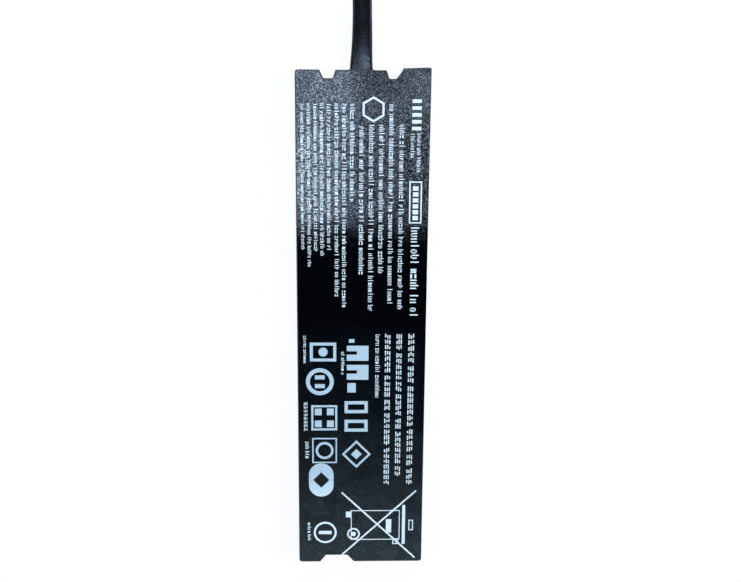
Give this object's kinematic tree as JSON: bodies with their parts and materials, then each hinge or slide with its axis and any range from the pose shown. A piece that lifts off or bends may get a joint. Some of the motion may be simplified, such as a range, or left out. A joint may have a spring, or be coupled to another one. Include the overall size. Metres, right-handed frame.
{
  "type": "raid battery module",
  "caption": "Slim backup battery module for a server storage controller: a flat notched black case with a printed film face and a short sleeved cable with a plug.",
  "frame": {"origin": "centre of the case's underside, without the cable", "axes": "+X across the case, +Y along it towards the cable end, +Z out of the printed film"},
  "size_m": [0.0452, 0.2556, 0.0057],
  "materials": {
    "housing_black": "fine moulded grain",
    "film_black": "satin film with a fine sparkle grain",
    "print_pale": "matte ink",
    "pouch_foil": "satin laminate foil",
    "tab_nickel": "plain nickel strip",
    "tape_white": "matte tape",
    "foam_grey": "open-cell foam",
    "flex_amber": "gloss film",
    "board_green": "solder mask",
    "chip_black": "moulded epoxy",
    "ceramic_white": "fired ceramic",
    "ceramic_tan": "fired ceramic",
    "fibre_sheet": "calendered fibre",
    "solder_tin": "bright solder",
    "lead_insulation": "smooth insulation",
    "grommet_black": "matte",
    "sleeve_black": "satin shrink tube",
    "plug_nylon": "natural nylon",
    "contact_brass": "plated",
    "tie_nylon": "nylon"
  },
  "bodies": {
    "root": {"tray": "housing_black", "lid": "housing_black", "front_film": "film_black", "print_rows": "print_pale", "print_marks": "print_pale", "cell_1": "pouch_foil", "cell_2": "pouch_foil", "cell_1_tabs": "tab_nickel", "cell_2_tabs": "tab_nickel", "cell_tape_1": "tape_white", "cell_tape_2": "tape_white", "foam_pad_1": "foam_grey", "foam_pad_2": "foam_grey", "conductor_strip": "flex_amber", "tab_tape": "flex_amber", "circuit_board": "board_green", "gauge_chip": "chip_black", "power_switches": "chip_black", "sense_resistor": "chip_black", "chip_fuse": "ceramic_white", "chip_capacitors": "ceramic_tan", "chip_resistors": "chip_black", "thermistor": "chip_black", "insulation_sheet": "fibre_sheet", "solder_joints": "solder_tin", "inner_leads": "lead_insulation", "cable_grommet": "grommet_black", "cable_sleeve": "sleeve_black", "plug_leads": "lead_insulation", "plug_housing": "plug_nylon", "plug_contacts": "contact_brass", "cable_tie": "tie_nylon"}
  },
  "joints": []
}
